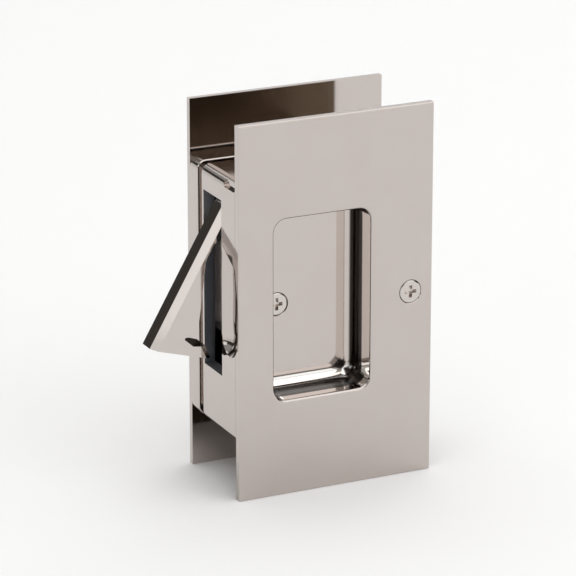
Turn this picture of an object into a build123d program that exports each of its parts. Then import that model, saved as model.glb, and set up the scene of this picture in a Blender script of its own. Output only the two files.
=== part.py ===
"""Adjustable pocket door set: two cup plates on a telescoping case, with a flip-out edge pull.

Frame: origin at the middle of the case's inner end face, where it meets the end of the door's notch.
+X runs into the door, +Y from the front plate to the rear plate, +Z up. Sizes are in millimetres.
"""

import os
from math import cos, radians, sin, tan

from build123d import *

os.makedirs("parts", exist_ok=True)

# Door
door_thickness = 34.925
door_travel = 9.525

# Plates
plate_height = 127.0
plate_overhang = 15.85
plate_thickness = 2.5
plate_edge_break = 0.4

# Case between the plates
case_depth = 54.0
case_height = 88.0
case_wall = 1.8
case_edge_radius = 3.2
inner_corner_radius = 0.6
seam_gap = 3.4
rim_break = 0.3

# Stepped tongue of the rear half, inside the front half's walls
tongue_wall = 1.6
tongue_clearance = 0.2
tongue_grip = 4.5
tongue_notch_clearance = 0.6

# Finger cups
cup_from_edge = 12.7
cup_from_end = 6.5
cup_height = 61.6
cup_depth = 13.2
cup_corner = 4.5
cup_wall = 1.5
cup_back = 1.3
cup_lip_radius = 1.0
cup_floor_radius = 3.3

# Slot in the case's edge
slot_width = 13.9
slot_top = 35.8
slot_bottom = -24.0
slot_depth = 4.2
slot_web = 1.5
slot_border_top = 2.7
slot_border_bottom = 3.0
slot_inner_round = 0.9

# Finger scoop beside the slot: round at its lower end, running out to a point at its top
scoop_depth = 3.2
scoop_edge_margin = 1.15
scoop_land = 0.4
scoop_low_z = -9.8
scoop_straight_z = 5.6
scoop_knee_z = 15.3
scoop_knee_width = 9.8
scoop_top_z = 20.7

# Oblong recess in the case's rounded top edge
nick_length = 9.0
nick_height = 2.6
nick_depth = 1.2
nick_below_top = 0.4

# Edge pull, in its own frame about the pivot: inward from the edge, and up
pivot_inset = 5.0
pivot_z = 27.6
pull_open_angle = 30.0
pull_width = 10.0
pull_bevel = 2.1
pull_head_radius = 5.0
pull_head_rise = 2.7
pull_bar_thickness = 2.7
pull_below_pivot = 49.0
pull_hub_radius = 3.0
pull_hub_clearance = 0.2
pull_neck = (5.0, -2.0)
pull_bar_top = -9.0
pull_web_start = -15.1
pull_web_corner = (7.5, -38.6)
pull_notch_end = (3.0, -41.4)
pull_notch_floor = (7.9, -42.4)
pull_lip = (12.5, -40.6)
pull_tip = (16.6, -43.6)
pull_tip_chamfer = 1.8
pull_neck_round = 2.5
pull_corner_round = 0.5

# Pivot pin
pin_radius = 1.5
pin_running_clearance = 0.06
pin_seat_depth = 2.5
pin_lug_radius = 5.0

# Catch spring and its rivet
leaf_thickness = 0.5
leaf_width = 7.0
leaf_x_from_edge = 13.35
leaf_top_z = 12.0
leaf_nose_z = -12.9
leaf_nose_radius = 0.9
leaf_nose_sweep = 150.0
leaf_seat_height = 8.0
leaf_seat_thickness = 3.0
rivet_radius = 1.2
rivet_head_radius = 2.2
rivet_head_height = 0.9
rivet_head_chamfer = 0.6
rivet_grip = 2.2

# Screws
screw_radius = 2.05
screw_head_radius = 4.0
screw_cone_angle = 82.0
screw_bore_clearance = 0.05
screw_hole_clearance = 0.2
screw_seat_clearance = 0.12
screw_tip_chamfer = 0.5
spotface_height = 0.5
plate_screw_x = 8.0
plate_screw_z = 0.0
plate_screw_length = 25.4
cup_screw_from_edge = 19.7
cup_screw_z = -2.3
cup_screw_tip_margin = 0.2
recess_width = 4.6
recess_wing = 1.15
recess_depth = 1.7
recess_taper = 14.0

# Posts that the screws turn in
plate_post_radius = 4.0
plate_post_length = 26.0
plate_bore_end_wall = 3.5
cup_post_radius = 3.5
cup_boss_radius = 5.5
cup_boss_height = 1.46
cup_post_gap = 0.1
tapped_boss_radius = 4.25
tapped_boss_height = 2.4

# Places worked out from the driving sizes
front = (0, -1, 0)
rear = (0, 1, 0)
edge_x = -case_depth
plate_width = case_depth + plate_overhang
plate_mid_x = edge_x + plate_width / 2
case_mid_x = -case_depth / 2
rear_seat_y = door_thickness / 2
front_seat_y = -rear_seat_y
rear_face_y = rear_seat_y + plate_thickness
front_face_y = -rear_face_y
cup_width = case_depth - cup_from_edge - cup_from_end
cup_mid_x = edge_x + cup_from_edge + cup_width / 2
cup_floor_y = rear_face_y - cup_depth
cup_back_y = cup_floor_y - cup_back
slot_side_y = slot_width / 2
slot_mid_z = (slot_top + slot_bottom) / 2
slot_height = slot_top - slot_bottom
border_mid_z = (slot_top + slot_border_top + slot_bottom - slot_border_bottom) / 2
border_height = slot_height + slot_border_top + slot_border_bottom
front_rim_y = slot_side_y + slot_web
shoulder_y = front_rim_y + seam_gap
tongue_step = case_wall + tongue_clearance
rear_wall = tongue_step + tongue_wall
tongue_length = seam_gap + door_travel + tongue_grip
pivot_x = edge_x + pivot_inset
cup_screw_x = edge_x + cup_screw_from_edge
cup_screw_length = 2 * cup_floor_y + tapped_boss_height - cup_screw_tip_margin
leaf_x = edge_x + leaf_x_from_edge
scoop_near_y = -slot_side_y - scoop_land
scoop_width = scoop_near_y - front_face_y - scoop_edge_margin
scoop_mid_y = scoop_near_y - scoop_width / 2
scoop_radius = scoop_width**2 / (8 * scoop_depth) + scoop_depth / 2

front_show_face = Plane(origin=(0, front_face_y, 0), x_dir=(1, 0, 0), z_dir=front)
rear_show_face = Plane(origin=(0, rear_face_y, 0), x_dir=(1, 0, 0), z_dir=rear)
edge_face = Plane.YZ.offset(edge_x)


def across(y):
    """Upright plane that faces the front at depth y, with X across and Z up."""
    return Plane(origin=(0, y, 0), x_dir=(1, 0, 0), z_dir=front)


def case_ring(plane, inset, wall):
    """Ring of the case's section, drawn a wall's thickness wide and set in from its outside."""
    with BuildSketch(plane) as ring:
        with Locations((case_mid_x, 0)):
            outer_radius = max(case_edge_radius - inset, inner_corner_radius)
            RectangleRounded(case_depth - 2 * inset, case_height - 2 * inset, outer_radius)
            hollow = inset + wall
            RectangleRounded(
                case_depth - 2 * hollow,
                case_height - 2 * hollow,
                inner_corner_radius,
                mode=Mode.SUBTRACT,
            )
    return ring.sketch


def plate_and_cup(half, face):
    """Plate with a broken edge and a deep rounded cup, below an outward facing plane."""
    with BuildSketch(face) as plate_outline:
        with Locations((plate_mid_x, 0)):
            Rectangle(plate_width, plate_height)
    extrude(plate_outline.sketch, amount=-plate_thickness)
    show_edges = half.faces().sort_by(Axis(face.origin, face.z_dir))[-1].edges()
    fillet(show_edges, plate_edge_break)
    with BuildSketch(face.offset(-plate_thickness)) as cup_outside:
        with Locations((cup_mid_x, 0)):
            RectangleRounded(cup_width + 2 * cup_wall, cup_height + 2 * cup_wall, cup_corner + cup_wall)
    extrude(cup_outside.sketch, amount=plate_thickness - cup_depth - cup_back)
    with BuildSketch(face) as cup_inside:
        with Locations((cup_mid_x, 0)):
            RectangleRounded(cup_width, cup_height, cup_corner)
    extrude(cup_inside.sketch, amount=-cup_depth, mode=Mode.SUBTRACT)
    rims = half.faces().filter_by(Axis.Y).sort_by(Axis(face.origin, face.z_dir))
    lip = rims[-1].inner_wires()[0].edges()
    floors = [f for f in rims if abs(f.center().Y) < rear_face_y - cup_depth + cup_back / 2]
    floor = max(floors, key=lambda f: abs(f.center().Y)).outer_wire().edges()
    fillet(lip, cup_lip_radius)
    fillet(floor, cup_floor_radius)


def break_rim(half, rim_y):
    """Breaks the outer edge of the case's open rim at depth y."""
    top_of_rim = (case_mid_x, rim_y, case_height / 2)
    rim = half.faces().filter_by(Axis.Y).sort_by_distance(top_of_rim)[0]
    chamfer(rim.outer_wire().edges(), rim_break)


def screw_seat(x, z, face_y, depth):
    """Countersunk, spotfaced hole for a screw head that is flush with a face looking to the front."""
    with Locations(Plane(origin=(x, face_y, z), z_dir=front)):
        CounterSinkHole(
            screw_radius + screw_hole_clearance,
            screw_head_radius + screw_seat_clearance,
            depth,
            screw_cone_angle,
        )
        Cylinder(
            screw_head_radius + screw_seat_clearance,
            spotface_height,
            align=(Align.CENTER, Align.CENTER, Align.MIN),
            mode=Mode.SUBTRACT,
        )


def scoop_section(z, width):
    """Level section of the finger scoop: an arc below the edge face, in proportion to its width."""
    depth = scoop_depth * width / scoop_width
    near = (edge_x, scoop_near_y)
    far = (edge_x, scoop_near_y - width)
    with BuildSketch(Plane.XY.offset(z)) as section:
        with BuildLine():
            ThreePointArc(near, (edge_x + depth, scoop_near_y - width / 2), far)
            Line(far, near)
        make_face()
    return section.sketch


# Front half: plate, cup, case walls, slot surround, scoop and pivot lug in one casting
with BuildPart() as front_half:
    plate_and_cup(front_half, front_show_face)
    extrude(case_ring(across(front_seat_y), 0, case_wall), amount=front_rim_y - front_seat_y, dir=rear)

    # Border round the slot, and the solid cheek beside it that carries the scoop and the pin
    with BuildSketch(edge_face):
        with Locations(((front_seat_y + front_rim_y) / 2, border_mid_z)):
            Rectangle(front_rim_y - front_seat_y, border_height)
    extrude(amount=slot_depth)
    with BuildSketch(edge_face):
        with Locations(((front_seat_y - slot_side_y) / 2, border_mid_z)):
            Rectangle(-slot_side_y - front_seat_y, border_height)
    extrude(amount=cup_from_edge - cup_wall)

    # Lug across the slot that takes the far end of the pivot pin
    with BuildSketch(across(front_rim_y)):
        with Locations((pivot_x, pivot_z)):
            Circle(pin_lug_radius)
        with Locations((edge_x + pivot_inset / 2, pivot_z)):
            Rectangle(pivot_inset, 2 * pin_lug_radius)
    extrude(amount=slot_web, dir=front)
    break_rim(front_half, front_rim_y)

    # Seat for the catch spring and boss for the cup screw, on the cup's back
    with BuildSketch(across(-cup_back_y)):
        with Locations((leaf_x + leaf_seat_thickness / 2, leaf_top_z - leaf_seat_height / 2)):
            Rectangle(leaf_seat_thickness, leaf_seat_height)
    extrude(amount=cup_back_y + leaf_width / 2, dir=rear)
    with BuildSketch(across(-cup_back_y)):
        with Locations((cup_screw_x, cup_screw_z)):
            Circle(cup_boss_radius)
    extrude(amount=cup_boss_height, dir=rear)

    # Slot for the edge pull, with its inner far edge rounded over
    with BuildSketch(edge_face):
        with Locations((0, slot_mid_z)):
            Rectangle(slot_width, slot_height)
    extrude(amount=slot_depth, mode=Mode.SUBTRACT)
    far_edge = (edge_x + slot_depth, slot_side_y, slot_mid_z)
    slot_edges = front_half.edges().filter_by(Axis.Z).sort_by_distance(far_edge)
    fillet(slot_edges[0], slot_inner_round)

    # Finger scoop: straight up from its round end, then drawn in towards the slot
    loft(
        [
            scoop_section(scoop_low_z, scoop_width),
            scoop_section(scoop_straight_z, scoop_width),
            scoop_section(scoop_knee_z, scoop_knee_width),
            Vertex(edge_x, scoop_near_y, scoop_top_z),
        ],
        ruled=True,
        mode=Mode.SUBTRACT,
    )
    with Locations((edge_x + scoop_depth - scoop_radius, scoop_mid_y, scoop_low_z)):
        Sphere(scoop_radius, mode=Mode.SUBTRACT)

    # Oblong recess in the case's rounded top edge, against the plate
    with BuildSketch(edge_face):
        nick_z = case_height / 2 - nick_below_top - nick_height / 2
        with Locations((front_seat_y + nick_length / 2, nick_z)):
            SlotOverall(nick_length, nick_height)
    extrude(amount=nick_depth, mode=Mode.SUBTRACT)

    # Blind seat in the cheek and through hole in the lug for the pivot pin
    with Locations(Plane(origin=(pivot_x, front_rim_y, pivot_z), z_dir=rear)):
        Hole(pin_radius, front_rim_y + slot_side_y + pin_seat_depth)

    # Rivet hole in the spring's seat, and the two countersunk screw holes
    with Locations(Plane(origin=(leaf_x, 0, leaf_top_z - leaf_seat_height / 2), z_dir=(-1, 0, 0))):
        Hole(rivet_radius, rivet_grip)
    screw_seat(plate_screw_x, plate_screw_z, front_face_y, plate_thickness)
    screw_seat(cup_screw_x, cup_screw_z, -cup_floor_y, cup_back + cup_boss_height)

# Rear half: plate, cup, case walls, sliding tongue and the two tapped posts in one casting
with BuildPart() as rear_half:
    plate_and_cup(rear_half, rear_show_face)
    extrude(case_ring(across(rear_seat_y), 0, rear_wall), amount=rear_seat_y - shoulder_y, dir=front)
    break_rim(rear_half, shoulder_y)
    extrude(case_ring(across(shoulder_y), tongue_step, tongue_wall), amount=tongue_length, dir=front)

    # The tongue is cut away round the slot's border, down to a short root
    with BuildSketch(edge_face):
        notch_end = front_rim_y + tongue_notch_clearance
        notch_start = shoulder_y - tongue_length
        with Locations(((notch_start + notch_end) / 2, border_mid_z)):
            Rectangle(notch_end - notch_start, border_height + 2 * tongue_notch_clearance)
    extrude(amount=cup_from_edge - cup_wall, mode=Mode.SUBTRACT)

    # Tapped post from the plate, tapped post from the cup's back, and its boss in the cup
    with BuildSketch(across(rear_seat_y)):
        with Locations((plate_screw_x, plate_screw_z)):
            Circle(plate_post_radius)
    extrude(amount=plate_post_length, dir=front)
    with BuildSketch(across(cup_back_y)):
        with Locations((cup_screw_x, cup_screw_z)):
            Circle(cup_post_radius)
    extrude(amount=2 * cup_back_y - cup_boss_height - cup_post_gap, dir=front)
    with BuildSketch(across(cup_floor_y)):
        with Locations((cup_screw_x, cup_screw_z)):
            Circle(tapped_boss_radius)
    extrude(amount=tapped_boss_height, dir=rear)
    bore_radius = screw_radius + screw_bore_clearance
    plate_post_y = rear_seat_y - plate_post_length
    with Locations(Plane(origin=(plate_screw_x, plate_post_y, plate_screw_z), z_dir=front)):
        Hole(bore_radius, plate_post_length - plate_bore_end_wall)
    tapped_boss_y = cup_floor_y + tapped_boss_height
    with Locations(Plane(origin=(cup_screw_x, tapped_boss_y, cup_screw_z), z_dir=rear)):
        Hole(bore_radius, 2 * cup_back_y + cup_back + tapped_boss_height)

# Edge pull, drawn in the plane of its swing at the open angle
swing = radians(pull_open_angle)
pull_plane = Plane(origin=(pivot_x, 0, pivot_z), x_dir=(cos(swing), 0, -sin(swing)), z_dir=front)
flat_x = -pivot_inset
bar_x = flat_x + pull_bar_thickness
head_start = (flat_x, pull_head_rise)
head_top = (flat_x + pull_head_radius, pull_head_rise + pull_head_radius)
head_end = (flat_x + 2 * pull_head_radius, pull_head_rise)
pull_foot = (flat_x, -pull_below_pivot)
with BuildPart() as edge_pull:
    with BuildSketch(pull_plane) as pull_profile:
        with BuildLine():
            Line(pull_foot, head_start)
            ThreePointArc(head_start, head_top, head_end)
            Polyline(
                head_end,
                pull_neck,
                (bar_x, pull_bar_top),
                (bar_x, pull_web_start),
                pull_web_corner,
                pull_notch_end,
                pull_notch_floor,
                pull_lip,
                pull_tip,
                pull_foot,
            )
        make_face()
        fillet(pull_profile.vertices().sort_by_distance((bar_x, pull_bar_top))[0], pull_neck_round)
        for corner in (pull_web_corner, pull_notch_end, pull_notch_floor):
            fillet(pull_profile.vertices().sort_by_distance(corner)[0], pull_corner_round)
    extrude(amount=pull_width / 2, both=True)

    # Wide bevels down both sides of the outer face, carried round the head
    side_edges = edge_pull.edges().filter_by(Axis(pull_plane.origin, pull_plane.y_dir))
    outer_edges = side_edges.sort_by(Axis(pull_plane.origin, pull_plane.x_dir))[:2]
    chamfer(outer_edges, pull_bevel)

    # Sloped end of the foot, narrowed on both sides
    tip_middle = pull_plane.from_local_coords(
        ((pull_lip[0] + pull_tip[0]) / 2, (pull_lip[1] + pull_tip[1]) / 2, 0)
    )
    tip_face = edge_pull.faces().sort_by_distance(tip_middle)[0]
    tip_sides = tip_face.edges().filter_by(Axis.Y, reverse=True)
    chamfer(tip_sides, pull_tip_chamfer)

    # Hub that keeps the pull central in the slot, bored to turn on the pin
    with BuildSketch(pull_plane):
        Circle(pull_hub_radius)
    extrude(amount=slot_side_y - pull_hub_clearance, both=True)
    with BuildSketch(pull_plane):
        Circle(pin_radius + pin_running_clearance)
    extrude(amount=slot_side_y, both=True, mode=Mode.SUBTRACT)

# Pivot pin, pressed into the cheek and the lug
with BuildPart() as pivot_pin:
    with BuildSketch(across(front_rim_y)):
        with Locations((pivot_x, pivot_z)):
            Circle(pin_radius)
    extrude(amount=front_rim_y + slot_side_y + pin_seat_depth, dir=front)

# Catch spring: a flat leaf on its seat, curled at the foot into a nose
rivet_z = leaf_top_z - leaf_seat_height / 2
with BuildPart() as catch_spring:
    with BuildSketch(across(0)):
        with BuildLine():
            Line((leaf_x, leaf_top_z), (leaf_x, leaf_nose_z))
            CenterArc((leaf_x - leaf_nose_radius, leaf_nose_z), leaf_nose_radius, 0, -leaf_nose_sweep)
            offset(amount=leaf_thickness, side=Side.RIGHT)
        make_face()
    extrude(amount=leaf_width / 2, both=True)
    with Locations(Plane(origin=(leaf_x - leaf_thickness, 0, rivet_z), z_dir=(-1, 0, 0))):
        Hole(rivet_radius, leaf_thickness)

# Rivet through the leaf into its seat
with BuildPart() as spring_rivet:
    with BuildSketch(Plane(origin=(leaf_x - leaf_thickness, 0, rivet_z), z_dir=(-1, 0, 0))):
        Circle(rivet_head_radius)
    extrude(amount=rivet_head_height)
    chamfer(spring_rivet.edges().sort_by(Axis.X)[0], rivet_head_chamfer)
    with BuildSketch(Plane(origin=(leaf_x - leaf_thickness, 0, rivet_z), z_dir=(1, 0, 0))):
        Circle(rivet_radius)
    extrude(amount=leaf_thickness + rivet_grip)


def flat_head_screw(x, z, face_y, length):
    """Countersunk screw with a cross recess, its head flush with a face looking to the front."""
    cone = (screw_head_radius - screw_radius) / tan(radians(screw_cone_angle / 2))
    with BuildSketch(Plane(origin=(x, face_y, z), x_dir=(1, 0, 0), z_dir=(0, 0, 1))) as section:
        with BuildLine():
            Polyline(
                (0, 0),
                (screw_head_radius, 0),
                (screw_radius, cone),
                (screw_radius, length - screw_tip_chamfer),
                (screw_radius - screw_tip_chamfer, length),
                (0, length),
                close=True,
            )
        make_face()
    revolve(section.sketch, axis=Axis((x, face_y, z), rear))
    with BuildSketch(Plane(origin=(x, face_y, z), x_dir=(1, 0, 0), z_dir=front)) as recess:
        Rectangle(recess_width, recess_wing)
        Rectangle(recess_wing, recess_width)
    extrude(recess.sketch, amount=-recess_depth, taper=recess_taper, mode=Mode.SUBTRACT)


with BuildPart() as plate_screw:
    flat_head_screw(plate_screw_x, plate_screw_z, front_face_y, plate_screw_length)

with BuildPart() as cup_screw:
    flat_head_screw(cup_screw_x, cup_screw_z, -cup_floor_y, cup_screw_length)

pieces = {
    "front_half": front_half,
    "rear_half": rear_half,
    "edge_pull": edge_pull,
    "pivot_pin": pivot_pin,
    "catch_spring": catch_spring,
    "spring_rivet": spring_rivet,
    "plate_screw": plate_screw,
    "cup_screw": cup_screw,
}
for name, piece in pieces.items():
    piece.part.label = name
    export_step(piece.part, f"parts/{name}.step")
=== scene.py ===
# %% [markdown]
# # A pocket door set in polished nickel
# Two rectangular plates grip a sliding door, and a box-shaped case joins them through a notch in the
# door's edge. Each plate has a deep cup for the fingers, and a pull swings out of a slot in the edge. The
# solids come ready made in real size, so this lesson spends its time on what makes metal look like metal:
# finishes, screws with a real thread, and above all what there is around the object to be mirrored.

# %% Load the frame
from math import cos, pi, radians, sin, tan

import bmesh
import bpy
from mathutils import Matrix, Vector


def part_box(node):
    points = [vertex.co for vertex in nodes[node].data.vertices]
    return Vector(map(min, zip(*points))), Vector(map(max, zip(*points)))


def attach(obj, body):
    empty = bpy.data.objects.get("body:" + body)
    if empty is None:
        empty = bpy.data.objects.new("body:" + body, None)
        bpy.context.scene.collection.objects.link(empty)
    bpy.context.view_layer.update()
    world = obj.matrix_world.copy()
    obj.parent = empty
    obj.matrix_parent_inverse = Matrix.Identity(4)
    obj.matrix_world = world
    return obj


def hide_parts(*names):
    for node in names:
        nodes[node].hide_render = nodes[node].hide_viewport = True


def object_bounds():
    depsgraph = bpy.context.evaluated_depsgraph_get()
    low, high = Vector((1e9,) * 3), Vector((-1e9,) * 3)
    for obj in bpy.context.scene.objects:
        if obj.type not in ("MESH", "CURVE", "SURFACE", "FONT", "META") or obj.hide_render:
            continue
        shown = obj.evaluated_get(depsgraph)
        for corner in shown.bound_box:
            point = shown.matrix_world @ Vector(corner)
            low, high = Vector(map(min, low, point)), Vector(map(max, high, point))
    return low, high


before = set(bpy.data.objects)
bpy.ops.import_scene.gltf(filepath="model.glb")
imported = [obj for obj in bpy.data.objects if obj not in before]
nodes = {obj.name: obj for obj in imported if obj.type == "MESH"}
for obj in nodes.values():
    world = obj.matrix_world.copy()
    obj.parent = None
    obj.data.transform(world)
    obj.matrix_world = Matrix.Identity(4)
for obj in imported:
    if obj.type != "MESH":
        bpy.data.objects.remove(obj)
cad_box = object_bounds()
MM = 0.001
print("nodes:", sorted(nodes))
print("box:", [[round(v, 4) for v in corner] for corner in cad_box])

# %% [markdown]
# ## Camera
# A product photographer stands well back with a long lens, which keeps upright edges nearly parallel. The
# place comes from two angles and a distance to an aim point near the middle of the case, so each of them
# can be changed alone. Typing in a location and a rotation would do too, but would be harder to adjust.

# %% Camera
AZIMUTH = radians(-25.51)
ELEVATION = radians(18.5)
DISTANCE = 1141 * MM
AIM = Vector((-26.93, 0.04, 0.21)) * MM
# Blender takes the lens and the sensor in millimetres
LENS = 217.1
SENSOR_WIDTH = 36

level = cos(ELEVATION)
towards_camera = Vector((sin(AZIMUTH) * level, -cos(AZIMUTH) * level, sin(ELEVATION)))
camera_data = bpy.data.cameras.new("studio_camera")
camera_data.lens = LENS
camera_data.sensor_width = SENSOR_WIDTH
camera = bpy.data.objects.new("studio_camera", camera_data)
camera.location = AIM + towards_camera * DISTANCE
camera.rotation_euler = towards_camera.to_track_quat("Z", "Y").to_euler()
bpy.context.scene.collection.objects.link(camera)
bpy.context.scene.camera = camera
print("camera at", [round(v, 3) for v in camera.location])

# %% [markdown]
# ## Helpers for materials
# Colours are easiest to choose as the hex values that a paint program shows, but Blender computes with
# linear light, so one function converts them. Another adds a node and fills its inputs, each with a plain
# value or with a link from another node, which keeps every material below short enough to read at a
# glance. A third starts an empty material. Building the nodes in the shader editor would look the same,
# but could not be read or repeated as text.

# %% Helpers for materials
def linear(hex_colour):
    """sRGB hex such as 'd4ccbf' as linear RGBA."""
    channels = [int(hex_colour[i : i + 2], 16) / 255 for i in (0, 2, 4)]
    return [c / 12.92 if c <= 0.04045 else ((c + 0.055) / 1.055) ** 2.4 for c in channels] + [1.0]


def add(tree, kind, inputs=None, **settings):
    """Adds a node, sets its properties and fills its inputs with values or links."""
    made = tree.nodes.new(kind)
    for name, value in settings.items():
        setattr(made, name, value)
    for name, value in (inputs or {}).items():
        if isinstance(value, bpy.types.NodeSocket):
            tree.links.new(value, made.inputs[name])
        else:
            made.inputs[name].default_value = value
    return made


def new_material(name):
    """Empty node material and its output node."""
    material = bpy.data.materials.new(name)
    material.use_nodes = True
    material.node_tree.nodes.clear()
    return material, material.node_tree, add(material.node_tree, "ShaderNodeOutputMaterial")


print("white is", linear("ffffff"), "and mid grey", [round(c, 3) for c in linear("808080")])

# %% [markdown]
# ## Painted light and shade, and a satin slot
# The tint of each cup carries painted light and shade: a painted highlight near the mouth, painted shade
# deep down and a painted highlight again in the round at the foot. The inside of the slot is satin, and
# the back of the front plate carries painted shade. Each such spot is marked off by steps along the axes,
# in millimetres away from the middle of the cups, and each step multiplies the mask that came before it.
# A vertex colour painted by hand would work too, but would be lost whenever the solids are made again.

# %% Painted light and shade, and the satin slot
CUP_MIDDLE = Vector((-23.9, 0, 0)) * MM  # midway between the front cup and the rear cup

# Painted light and shade, and one real finish, each as a tint and a haze
# Painted shade: the dark tint deep down in the cup's walls and corners
PAINTED_SHADE = ("2f2a27", 0.2)
# Painted highlight: the pale tint on the walls near the cup's mouth
PAINTED_SHEEN = ("ebe4de", 0.06)
# Painted highlight: the near-white tint in the round at the cup's foot, over the mirrored front right box
PAINTED_HIGHLIGHT = ("f8f5f2", 0.06)
# Painted shade: the dark brown tint on the back of the front plate, which the case top mirrors
PAINTED_BACK_SHADE = ("6f6152", 0.25)
SATIN = ("8d9096", 0.55)

# Steps as an axis, the distance from the cup's middle where a spot has faded out, and where it is full
IN_CUP = (("X", 17.6, 17.5), ("Z", 31.0, 30.9))
MOUTH = IN_CUP + (("Y", 13.0, 13.8), ("Y", 19.4, 18.8))
DEEP_SIDES = IN_CUP + (("X", 15.4, 16.2), ("Y", 13.8, 13.0))
DEEP_ENDS = IN_CUP + (("Z", 30.2, 30.6), ("Y", 16.6, 15.8))
FOOT_ROUND = IN_CUP + (("Z", 27.2, 27.8), ("Z", 30.6, 30.2), ("Y", 9.6, 9.0))
DEEP_CORNERS = IN_CUP + (("X", 13.6, 14.6), ("Z", 27.4, 28.4), ("Y", 16.8, 16.0))
PLATE_BACK = (("Y", 17.36, 17.41), ("Y", 17.56, 17.51))
SLOT_INSIDE = (("X", 26.1, 26.3), ("X", 30.05, 29.9), ("Y", 7.4, 7.3), ("Z", 38.0, 37.0))

# A later spot lies over the ones before it. The cup's spots are painted highlights and painted shade
CUP_SPOTS = [
    (MOUTH, PAINTED_SHEEN),
    (DEEP_SIDES, PAINTED_SHADE),
    (DEEP_ENDS, PAINTED_SHADE),
    (FOOT_ROUND, PAINTED_HIGHLIGHT),
    (DEEP_CORNERS, PAINTED_SHADE),
]
# The spot on the plate's back is painted shade, and the spot in the slot is a real satin finish
FRONT_SPOTS = [(PLATE_BACK, PAINTED_BACK_SHADE), *CUP_SPOTS, (SLOT_INSIDE, SATIN)]


def lay_spots(tree, place, colour, haze, spots):
    """Colour and haze with each spot's own tint and haze laid over them."""
    from_cup = add(tree, "ShaderNodeVectorMath", {0: place, 1: CUP_MIDDLE}, operation="SUBTRACT")
    away = add(tree, "ShaderNodeVectorMath", {0: from_cup.outputs["Vector"]}, operation="ABSOLUTE")
    axes = add(tree, "ShaderNodeSeparateXYZ", {"Vector": away.outputs["Vector"]})
    for steps, (spot_tint, spot_haze) in spots:
        mask = 1.0
        for axis, clear, full in steps:
            limits = {"From Min": clear * MM, "From Max": full * MM, "To Max": mask}
            fade = {"Value": axes.outputs[axis], **limits}
            step = add(tree, "ShaderNodeMapRange", fade, interpolation_type="SMOOTHSTEP")
            mask = step.outputs["Result"]
        tints = {"Factor": mask, "A": colour, "B": linear(spot_tint)}
        colour = add(tree, "ShaderNodeMix", tints, data_type="RGBA").outputs["Result"]
        hazes = {"Factor": mask, "A": haze, "B": spot_haze}
        haze = add(tree, "ShaderNodeMix", hazes, data_type="FLOAT").outputs["Result"]
    return colour, haze


print("spots on the front half and on the rear half:", len(FRONT_SPOTS), len(CUP_SPOTS))

# %% [markdown]
# ## Polished nickel
# Nickel plating over buffed brass is a mirror with a warm grey tint. A buffing wheel leaves a faint haze
# in long streaks, and the plating is never quite even, so the roughness wanders a little around a low
# value and a very weak bump bends the reflections. One function makes the finish for the castings, the
# pull and the screws, because they differ only in tint, in how well they are polished, in which way the
# wheel ran and in the spots of painted light and shade laid over them.

# %% Polished nickel
STREAK_WIDTH = 1.6 * MM  # real buffing lines are near 0.1 mm, which is too fine to show at this distance
STREAK_LENGTH = 60 * MM
CLOUD_SIZE = 14 * MM
THROUGH_DOOR, UPRIGHT = 1, 2  # numbers of the Y and Z axes


def polished_nickel(name, tint, shadow_tint, smoothest, haziest, streak_axis, spots=()):
    """Mirror metal with streaks of haze along one axis, and spots with a tint and a haze of their own."""
    material, tree, output = new_material(name)
    place = add(tree, "ShaderNodeTexCoord").outputs["Object"]
    scale = [1 / STREAK_WIDTH] * 3
    scale[streak_axis] = 1 / STREAK_LENGTH
    stretched = add(tree, "ShaderNodeMapping", {"Vector": place, "Scale": scale})
    drawn_out = {"Vector": stretched.outputs["Vector"], "Scale": 1.0, "Detail": 3.0}
    streaks = add(tree, "ShaderNodeTexNoise", drawn_out)
    clouds = add(tree, "ShaderNodeTexNoise", {"Vector": place, "Scale": 1 / CLOUD_SIZE, "Detail": 2.0})
    noise_span = {"Value": streaks.outputs["Fac"], "From Min": 0.3, "From Max": 0.7}
    haze_span = {"To Min": smoothest, "To Max": haziest}
    haze = add(tree, "ShaderNodeMapRange", {**noise_span, **haze_span}).outputs["Result"]
    tints = {"Factor": clouds.outputs["Fac"], "A": linear(shadow_tint), "B": linear(tint)}
    colour = add(tree, "ShaderNodeMix", tints, data_type="RGBA").outputs["Result"]
    relief = {"Height": clouds.outputs["Fac"], "Strength": 0.02, "Distance": 0.1 * MM}
    waver = add(tree, "ShaderNodeBump", relief)
    if spots:
        colour, haze = lay_spots(tree, place, colour, haze, spots)
    look = {"Base Color": colour, "Metallic": 1.0, "Roughness": haze, "Normal": waver.outputs["Normal"]}
    metal = add(tree, "ShaderNodeBsdfPrincipled", look)
    tree.links.new(metal.outputs["BSDF"], output.inputs["Surface"])
    return material


# Plated and buffed castings: a warm grey mirror that softens what it shows by a hair
cast_tints = {"tint": "c7bfba", "shadow_tint": "c2b9b4"}
cast_haze = {"smoothest": 0.05, "haziest": 0.1, "streak_axis": UPRIGHT}
front_nickel = polished_nickel("polished_nickel_front", **cast_tints, **cast_haze, spots=FRONT_SPOTS)
rear_nickel = polished_nickel("polished_nickel_rear", **cast_tints, **cast_haze, spots=CUP_SPOTS)
# The pull is handled most and buffed best, so its reflections are crisp
pull_haze = {"smoothest": 0.03, "haziest": 0.07, "streak_axis": UPRIGHT}
pull_nickel = polished_nickel("polished_nickel_pull", "c9c2bd", "c4bdb8", **pull_haze)
# Screws are plated but not buffed, so they look paler and softer than the plate around them
screw_haze = {"smoothest": 0.1, "haziest": 0.18, "streak_axis": THROUGH_DOOR}
screw_nickel = polished_nickel("plated_nickel_screw", "d1cbc6", "c9c2bc", **screw_haze)
print("nickel:", [m.name for m in (front_nickel, rear_nickel, pull_nickel, screw_nickel)])

# %% [markdown]
# ## Steel inside the case
# The pivot pin and the rivet are ground steel, and the catch is a leaf of blue-grey tempered spring
# steel. The case hides nearly all of them, so plain bare steel with fine grinding lines is enough. The
# lines run through the door on the pin and the rivet, and upright on the leaf.

# %% Steel
GRIND_SPACING = 0.5 * MM  # real grinding lines are finer than 0.05 mm and would not show


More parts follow.
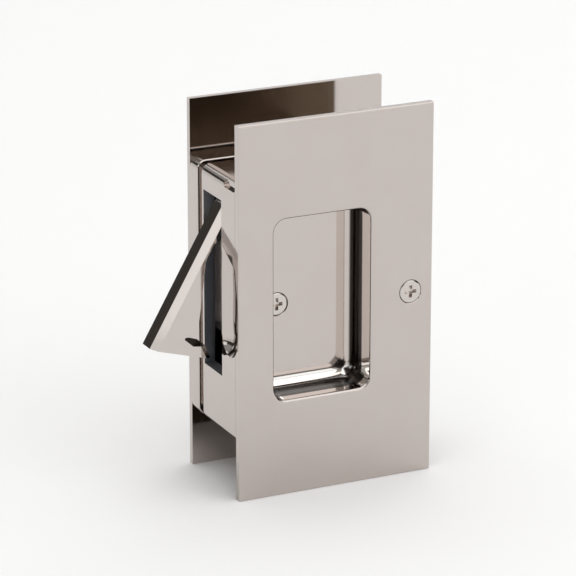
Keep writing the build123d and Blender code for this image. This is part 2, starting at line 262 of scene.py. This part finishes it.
def bare_steel(name, tint, roughness, line_axis):
    """Steel with fine grinding lines that run along one axis."""
    material, tree, output = new_material(name)
    place = add(tree, "ShaderNodeTexCoord").outputs["Object"]
    scale = [1 / GRIND_SPACING] * 3
    scale[line_axis] = 1 / STREAK_LENGTH
    stretched = add(tree, "ShaderNodeMapping", {"Vector": place, "Scale": scale})
    drawn_out = {"Vector": stretched.outputs["Vector"], "Scale": 1.0, "Detail": 2.0}
    lines = add(tree, "ShaderNodeTexNoise", drawn_out)
    relief = {"Height": lines.outputs["Fac"], "Strength": 0.15, "Distance": 0.02 * MM}
    grooves = add(tree, "ShaderNodeBump", relief)
    look = {"Base Color": linear(tint), "Metallic": 1.0, "Roughness": roughness}
    metal = add(tree, "ShaderNodeBsdfPrincipled", {**look, "Normal": grooves.outputs["Normal"]})
    tree.links.new(metal.outputs["BSDF"], output.inputs["Surface"])
    return material


# Ground steel: a pale grey metal with soft, broken highlights
ground_steel = bare_steel("ground_steel", "c9c6c2", roughness=0.3, line_axis=THROUGH_DOOR)
# Tempered leaf: darker and bluer, since hardening leaves a thin oxide
spring_steel = bare_steel("tempered_spring_steel", "8f9094", roughness=0.34, line_axis=UPRIGHT)

finishes = {
    "front_half": front_nickel,
    "rear_half": rear_nickel,
    "edge_pull": pull_nickel,
    "pivot_pin": ground_steel,
    "spring_rivet": ground_steel,
    "catch_spring": spring_steel,
}
for name, finish in finishes.items():
    nodes[name].data.materials.clear()
    nodes[name].data.materials.append(finish)
print("finished:", sorted(finishes))

# %% [markdown]
# ## Screws: head and shank
# Two screws draw the halves together. Each has a flat countersunk head, 82 degrees across the cone, on a
# straight shank. It is round about one axis, so a section is drawn on one side of that axis and spun all
# the way round. A stack of cylinders and cones would be quicker, but would leave no small edge on the
# head to catch the light.

# %% Head and shank
HEAD_CONE = radians(82 / 2)
HEAD_EDGE = 0.25 * MM
HEAD_GAP = 0.2 * MM  # dark ring between the head and its countersink
SHANK_RADIUS = 2.05 * MM
TIP_TAPER = 0.5 * MM
FULL_TURN = 2 * pi
TURN_STEPS = 32
WELD_DISTANCE = 0.001 * MM


def screw_core(shell, axis_place, head_radius, core_radius, length):
    """Head and plain shank, spun from a section that starts at the middle of the head's face."""
    cone_length = (head_radius - core_radius) / tan(HEAD_CONE)
    section = [
        (0, 0),
        (head_radius - HEAD_EDGE, 0),
        (head_radius, HEAD_EDGE / 2),
        (head_radius - HEAD_EDGE / 2, HEAD_EDGE),
        (core_radius, cone_length),
        (core_radius, length - TIP_TAPER),
        (core_radius - TIP_TAPER, length),
        (0, length),
    ]
    points = [shell.verts.new(axis_place + Vector((radius, depth, 0))) for radius, depth in section]
    lines = [shell.edges.new(pair) for pair in zip(points, points[1:])]
    turn = {"cent": axis_place, "axis": (0, 1, 0), "angle": FULL_TURN, "steps": TURN_STEPS}
    bmesh.ops.spin(shell, geom=points + lines, use_merge=True, **turn)
    bmesh.ops.remove_doubles(shell, verts=shell.verts, dist=WELD_DISTANCE)
    bmesh.ops.recalc_face_normals(shell, faces=shell.faces)
    return cone_length


print("steps in a turn:", TURN_STEPS)

# %% [markdown]
# ## Screws: thread
# The shank carries 32 threads to the inch. A ridge with a triangular section is spun as well, but climbs
# one pitch in each turn, so it winds along the shank. The Screw modifier does the same for a whole profile
# at once. Spinning only the ridge lets it start under the head and stop before the tip, as a rolled
# thread does.

# %% Thread
THREAD_PITCH = 25.4 / 32 * MM
THREAD_DEPTH = 0.42 * MM
THREAD_ROOT = 0.05 * MM  # how far the ridge is sunk into the core, so that no gap shows
RIDGE_SHARE = 0.8


def screw_thread(shell, axis_place, start, end):
    """Triangular ridge that climbs one pitch in each turn, from under the head to the tip."""
    turns = int((end - start) / THREAD_PITCH)
    foot = SHANK_RADIUS - THREAD_DEPTH - THREAD_ROOT
    ridge_width = THREAD_PITCH * RIDGE_SHARE
    ridge = [(foot, start), (SHANK_RADIUS, start + ridge_width / 2), (foot, start + ridge_width)]
    points = [shell.verts.new(axis_place + Vector((radius, depth, 0))) for radius, depth in ridge]
    climb = {"dvec": (0, THREAD_PITCH / TURN_STEPS, 0)}
    turn = {"cent": axis_place, "axis": (0, 1, 0), "angle": FULL_TURN * turns, "steps": TURN_STEPS * turns}
    bmesh.ops.spin(shell, geom=[shell.faces.new(points)], **climb, **turn)
    bmesh.ops.recalc_face_normals(shell, faces=shell.faces)
    return turns


print("thread pitch in mm:", round(THREAD_PITCH / MM, 3))

# %% [markdown]
# ## Screws: cross recess
# A punch with four tapered wings presses the cross into the head. Two crossed blades, narrower at the
# bottom, cut it with the Boolean modifier. Drawing the cross into the head's faces by hand would give
# neater quads, which nobody would see at this size.

# %% Cross recess
BLADE_LENGTH = 5.6 * MM
BLADE_WIDTH = 1.6 * MM
BLADE_DEPTH = 1.2 * MM
BLADE_TAPER = 0.5


def recess_blade(name, axis_place, length, width):
    """Blade of the cross, half above the head and tapered into it, as a cutter object."""
    shell = bmesh.new()
    bmesh.ops.create_cube(shell, size=1)
    bmesh.ops.scale(shell, vec=(length, 2 * BLADE_DEPTH, width), verts=shell.verts)
    deep_end = [vert for vert in shell.verts if vert.co.y > 0]
    bmesh.ops.scale(shell, vec=(BLADE_TAPER, 1, BLADE_TAPER), verts=deep_end)
    bmesh.ops.translate(shell, vec=axis_place, verts=shell.verts)
    mesh = bpy.data.meshes.new(name)
    shell.to_mesh(mesh)
    shell.free()
    blade = bpy.data.objects.new(name, mesh)
    bpy.context.scene.collection.objects.link(blade)
    return blade


def cut_cross(screw, axis_place):
    """Mesh of the screw with both blades cut out of its head."""
    blades = [
        recess_blade(screw.name + "_blade_across", axis_place, BLADE_LENGTH, BLADE_WIDTH),
        recess_blade(screw.name + "_blade_upright", axis_place, BLADE_WIDTH, BLADE_LENGTH),
    ]
    for blade in blades:
        cut = screw.modifiers.new("recess", "BOOLEAN")
        cut.operation = "DIFFERENCE"
        cut.object = blade
    bpy.context.view_layer.update()
    finished = screw.evaluated_get(bpy.context.evaluated_depsgraph_get())
    cut_mesh = bpy.data.meshes.new_from_object(finished)
    screw.modifiers.clear()
    for blade in blades:
        bpy.data.objects.remove(blade)
    return cut_mesh


print("recess in mm:", round(BLADE_LENGTH / MM, 2), "by", round(BLADE_WIDTH / MM, 2))

# %% [markdown]
# ## Screws: in their places
# The plain solids already say where each screw sits and how long it is, so the detailed one is measured
# from their boxes and takes their place. It rides on the same body, so it turns and travels with it in
# every pose.

# %% Screws in their places
def threaded_screw(node_name):
    """Detailed screw in the place of a plain one, riding on the body of the same name."""
    low, high = [Vector(corner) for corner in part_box(node_name)]
    head_radius = (high.x - low.x) / 2 - HEAD_GAP
    axis_place = Vector(((low.x + high.x) / 2, low.y, (low.z + high.z) / 2))
    length = high.y - low.y
    shell = bmesh.new()
    cone_length = screw_core(shell, axis_place, head_radius, SHANK_RADIUS - THREAD_DEPTH, length)
    mesh = bpy.data.meshes.new(node_name + "_threaded")
    shell.to_mesh(mesh)
    shell.free()
    screw = bpy.data.objects.new(node_name + "_threaded", mesh)
    bpy.context.scene.collection.objects.link(screw)

    shell = bmesh.new()
    shell.from_mesh(cut_cross(screw, axis_place))
    turns = screw_thread(shell, axis_place, cone_length, length - TIP_TAPER)
    shell.to_mesh(mesh)
    shell.free()
    mesh.materials.append(screw_nickel)
    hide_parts(node_name)
    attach(screw, node_name)
    return turns, len(mesh.polygons)


for node_name in ("plate_screw", "cup_screw"):
    print(node_name, "turns and faces:", threaded_screw(node_name))

# %% [markdown]
# ## Floor and backdrop
# A mirror has no colour of its own to speak of: the front plate is pale because it looks down onto a pale
# table. So the floor is a real white sheet with real light on it, and it keeps the soft shadow of the
# object. Its edge is turned up all round like a shallow dish, because the rounded edges of the metal look
# just over the horizon. A curved screen of the same paper stands far behind the object. The flat tops of
# the plates mirror it, while the open pull looks past its end into the dark. Both sheets are spun from a
# line, which leaves no corner to show in the metal as a dark stripe, as four walls would.

# %% Floor and backdrop
SHEET_RADIUS = 1.7
RIM_RADIUS = 0.3
RIM_STEPS = 8
SHEET_STEPS = 96
SCREEN_RADIUS = 1.9
SCREEN_HEIGHT = 1.3
SCREEN_SWEEP = radians(80)
SCREEN_STEPS = 24
PAPER_GRAIN = 3 * MM  # real fibres are near 0.1 mm across, too fine to show

paper, paper_tree, paper_output = new_material("matt_white_paper")
paper_place = add(paper_tree, "ShaderNodeTexCoord").outputs["Object"]
speckle = {"Vector": paper_place, "Scale": 1 / PAPER_GRAIN, "Detail": 2.0}
grain = add(paper_tree, "ShaderNodeTexNoise", speckle)
relief = {"Height": grain.outputs["Fac"], "Strength": 0.05, "Distance": 0.05 * MM}
tooth = add(paper_tree, "ShaderNodeBump", relief)
# Uncoated paper: an even white with no gloss to speak of
matt = {"Base Color": linear("fbfbfb"), "Roughness": 0.9, "Specular IOR Level": 0.2}
paper_shader = add(paper_tree, "ShaderNodeBsdfPrincipled", {**matt, "Normal": tooth.outputs["Normal"]})
paper_tree.links.new(paper_shader.outputs["BSDF"], paper_output.inputs["Surface"])


def spun_sheet(name, section, angle, steps):
    """Sheet of paper spun round the upright axis from a line of points, kept out of the object."""
    shell = bmesh.new()
    points = [shell.verts.new(point) for point in section]
    lines = [shell.edges.new(pair) for pair in zip(points, points[1:])]
    turn = {"axis": (0, 0, 1), "angle": angle, "steps": steps, "use_merge": angle == FULL_TURN}
    bmesh.ops.spin(shell, geom=points + lines, **turn)
    bmesh.ops.remove_doubles(shell, verts=shell.verts, dist=WELD_DISTANCE)
    bmesh.ops.recalc_face_normals(shell, faces=shell.faces)
    for face in shell.faces:
        face.smooth = True
    mesh = bpy.data.meshes.new(name)
    shell.to_mesh(mesh)
    shell.free()
    mesh.materials.append(paper)
    sheet = bpy.data.objects.new(name, mesh)
    bpy.context.scene.collection.objects.link(sheet)
    return len(mesh.polygons)


floor_z = cad_box[0][2]
dish = [(0, 0, floor_z)]
for step in range(RIM_STEPS + 1):
    bend = pi / 2 * step / RIM_STEPS
    dish.append((SHEET_RADIUS + RIM_RADIUS * sin(bend), 0, floor_z + RIM_RADIUS * (1 - cos(bend))))
print("floor faces:", spun_sheet("floor", dish, FULL_TURN, SHEET_STEPS))

behind = Vector((-towards_camera.x, -towards_camera.y, 0)).normalized() * SCREEN_RADIUS
screen_start = Matrix.Rotation(-SCREEN_SWEEP / 2, 3, "Z") @ behind
screen = [screen_start + Vector((0, 0, floor_z + up)) for up in (0, SCREEN_HEIGHT)]
print("backdrop faces:", spun_sheet("backdrop", screen, SCREEN_SWEEP, SCREEN_STEPS))

# %% [markdown]
# ## Light
# The room is dim, so whatever looks past the paper goes dark: the outer face of the pull, and the hollow
# case. A wide, weak ceiling lights the floor evenly, and a stronger box hangs below it, nearly overhead.
# Two more boxes are there only to be mirrored: one at the front right shows as the white band in the
# round at the foot of the cup, and a small one at the front left fills the long bevel of the pull from
# end to end. One big lamp would be simpler, but polished metal would show it as a single hard shape. The
# level is plain: the white paper stays just short of clipping, and the plates that mirror it come out
# about as their tint is written.

# %% Light
def soft_box(name, place, aim, size, watts):
    """Rectangular lamp at a place, turned to face an aim point."""
    lamp = bpy.data.lights.new(name, "AREA")
    lamp.shape = "RECTANGLE"
    lamp.size, lamp.size_y = size
    lamp.energy = watts
    box = bpy.data.objects.new(name, lamp)
    box.location = place
    box.rotation_euler = (Vector(place) - Vector(aim)).to_track_quat("Z", "Y").to_euler()
    bpy.context.scene.collection.objects.link(box)
    return box


lamps = [
    soft_box("ceiling_light", place=(0.0, -0.9, 1.7), aim=(0.0, -0.9, 0), size=(8.0, 11.2), watts=91),
    soft_box("overhead_box", place=(0.4, -0.4, 1.6), aim=(0.4, -0.4, 0), size=(3.2, 4.0), watts=41.5),
    soft_box("front_right_box", place=(0.97, -2.03, 0.85), aim=(-0.02, 0, -0.02), size=(1.8, 1.1), watts=5.8),
    soft_box("front_left_box", place=(-1.34, -0.88, 0.62), aim=(-0.06, 0, 0), size=(0.6, 0.5), watts=0.85),
]

world = bpy.data.worlds.new("dim_room")
bpy.context.scene.world = world
world.use_nodes = True
room = world.node_tree.nodes["Background"]
room.inputs["Color"].default_value = linear("454340")
room.inputs["Strength"].default_value = 1.0
bpy.context.scene.view_settings.view_transform = "Standard"
print("lamps:", [lamp.name for lamp in lamps])
